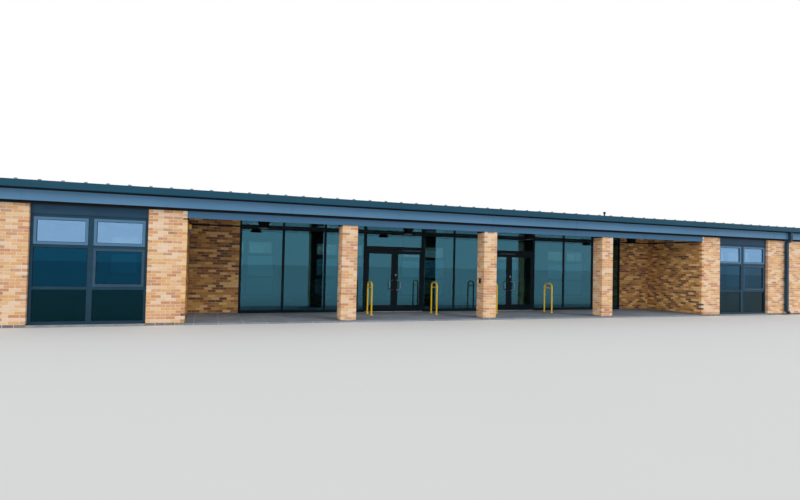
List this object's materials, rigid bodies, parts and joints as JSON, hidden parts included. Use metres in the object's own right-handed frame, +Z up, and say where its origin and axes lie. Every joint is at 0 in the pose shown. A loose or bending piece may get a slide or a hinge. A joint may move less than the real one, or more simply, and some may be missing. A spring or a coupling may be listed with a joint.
{
  "type": "single-storey school building",
  "caption": "Low brick school building with a recessed glazed porch on square piers, hinged entrance doors, tall windows and a shallow metal roof.",
  "frame": {"origin": "on the ground at the middle of the building's plan", "axes": "+X along the front to the right, +Y from the glazed front to the rear, +Z up"},
  "size_m": [28.772, 11.44, 4.0502],
  "materials": {
    "brick": "buff multi brick with pale mortar",
    "concrete": "trowelled concrete",
    "structure": "concealed structural board and beam",
    "soffit_panel": "gloss dark grey panel",
    "roof_metal": "coated standing seam sheet",
    "fascia_metal": "satin blue-grey coated panel",
    "gutter_metal": "satin dark blue-grey coating",
    "frame_metal": "satin anthracite powder coat",
    "glass": "tinted double glazing",
    "bare_aluminium": "ribbed mill finish",
    "handle_steel": "satin stainless steel",
    "yellow_paint": "gloss safety yellow",
    "black_plastic": "matt black",
    "lens_plastic": "opal diffuser",
    "alarm_plastic": "moulded yellow cover",
    "lens_blue": "clear blue strobe lens"
  },
  "bodies": {
    "building": {"floor_slab": "concrete", "porch_floor": "concrete", "porch_soffit": "soffit_panel", "porch_piers": "brick", "front_walls": "brick", "rear_wall": "brick", "gable_walls": "brick", "porch_side_walls": "brick", "porch_back_walls": "brick", "porch_beams": "structure", "wall_beams": "structure", "gable_beams": "structure", "roof_deck_front": "structure", "roof_deck_rear": "structure", "roof_sheet_front": "roof_metal", "roof_sheet_rear": "roof_metal", "ridge_cap": "roof_metal", "verge_flashings": "roof_metal", "eaves_fascias": "fascia_metal", "gable_fascias": "fascia_metal", "beam_cladding": "fascia_metal", "gutters": "gutter_metal", "downpipes": "gutter_metal", "window_frames": "frame_metal", "window_sashes": "frame_metal", "window_glass": "glass", "window_head_panels": "fascia_metal", "window_sills": "concrete", "screen_frames": "frame_metal", "door_head_frames": "frame_metal", "screen_glass": "glass", "door_thresholds": "bare_aluminium", "door_guard_hoops": "yellow_paint", "door_hinge_seats": "frame_metal", "soffit_lights": "black_plastic", "soffit_light_lenses": "lens_plastic", "entry_reader": "black_plastic", "alarm_box": "alarm_plastic", "alarm_lens": "lens_blue", "vent_pipe": "gutter_metal"},
    "left_door_left_leaf": {"left_door_left_leaf": "frame_metal", "left_door_left_leaf_glass": "glass", "left_door_left_leaf_handles": "handle_steel"},
    "left_door_right_leaf": {"left_door_right_leaf": "frame_metal", "left_door_right_leaf_glass": "glass", "left_door_right_leaf_handles": "handle_steel"},
    "right_door_left_leaf": {"right_door_left_leaf": "frame_metal", "right_door_left_leaf_glass": "glass", "right_door_left_leaf_handles": "handle_steel"},
    "right_door_right_leaf": {"right_door_right_leaf": "frame_metal", "right_door_right_leaf_glass": "glass", "right_door_right_leaf_handles": "handle_steel"}
  },
  "joints": [
    {"name": "left_door_left_leaf_hinge", "type": "hinge", "parent": "building", "child": "left_door_left_leaf", "pos_m": [-3.217, -2.889, 1.07], "axis": [0, 0, -1], "range_deg": [0, 90]},
    {"name": "left_door_right_leaf_hinge", "type": "hinge", "parent": "building", "child": "left_door_right_leaf", "pos_m": [-1.193, -2.889, 1.07], "axis": [0, 0, 1], "range_deg": [0, 90]},
    {"name": "right_door_left_leaf_hinge", "type": "hinge", "parent": "building", "child": "right_door_left_leaf", "pos_m": [1.193, -2.889, 1.07], "axis": [0, 0, -1], "range_deg": [0, 90]},
    {"name": "right_door_right_leaf_hinge", "type": "hinge", "parent": "building", "child": "right_door_right_leaf", "pos_m": [3.217, -2.889, 1.07], "axis": [0, 0, 1], "range_deg": [0, 90]}
  ]
}
